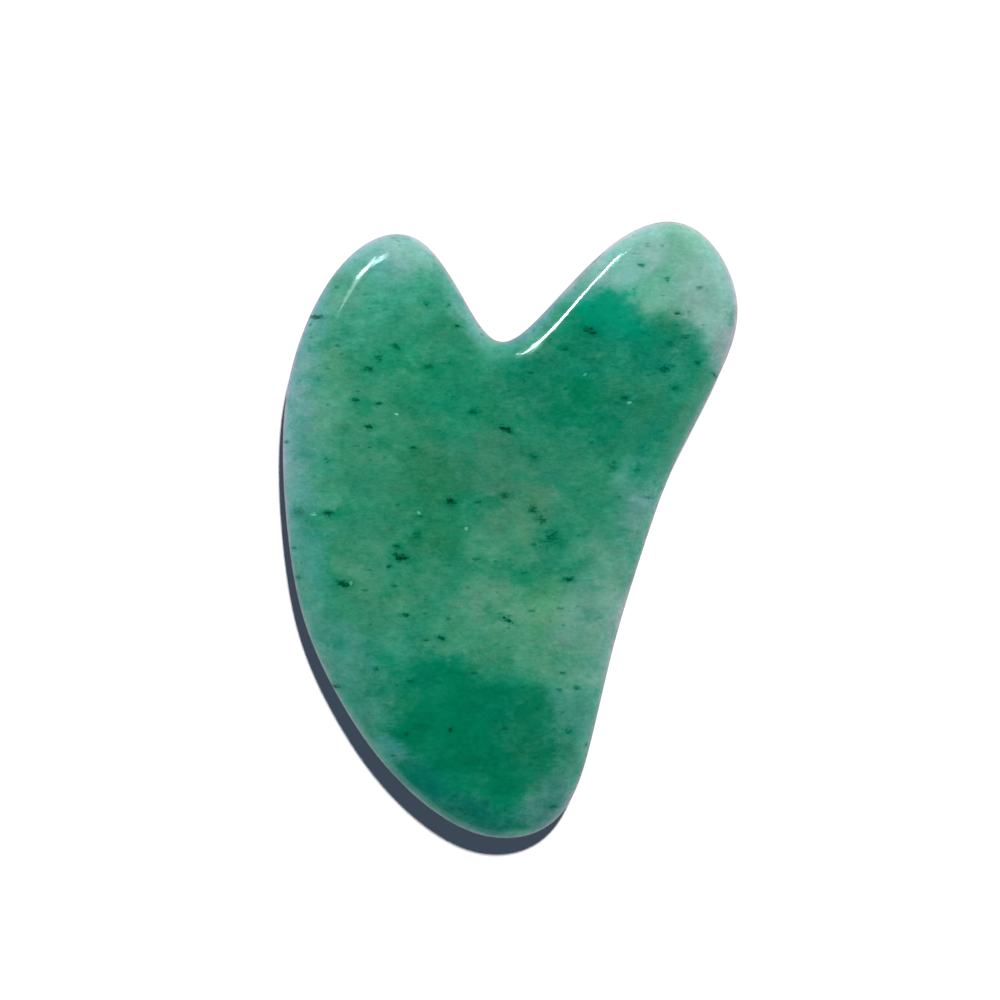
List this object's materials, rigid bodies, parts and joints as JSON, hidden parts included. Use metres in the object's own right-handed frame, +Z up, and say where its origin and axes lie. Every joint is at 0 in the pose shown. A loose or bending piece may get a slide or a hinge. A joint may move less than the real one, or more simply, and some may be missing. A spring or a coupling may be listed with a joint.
{
  "type": "gua sha scraper",
  "caption": "Flat polished stone massage board with a lopsided two-lobed heart outline, a deep rounded notch and rounded-over scraping edges.",
  "frame": {"origin": "middle of the outline's box on the lower flat face", "axes": "+Z up through the thickness, +Y along the board towards its two lobes, +X towards the nearly straight side and the long lobe, the convex scraping edge on -X"},
  "size_m": [0.054, 0.085, 0.006],
  "materials": {
    "polished_stone": "high polish, cloudy green quartz with fine dark flecks"
  },
  "bodies": {
    "root": {"scraper_stone": "polished_stone"}
  },
  "joints": []
}
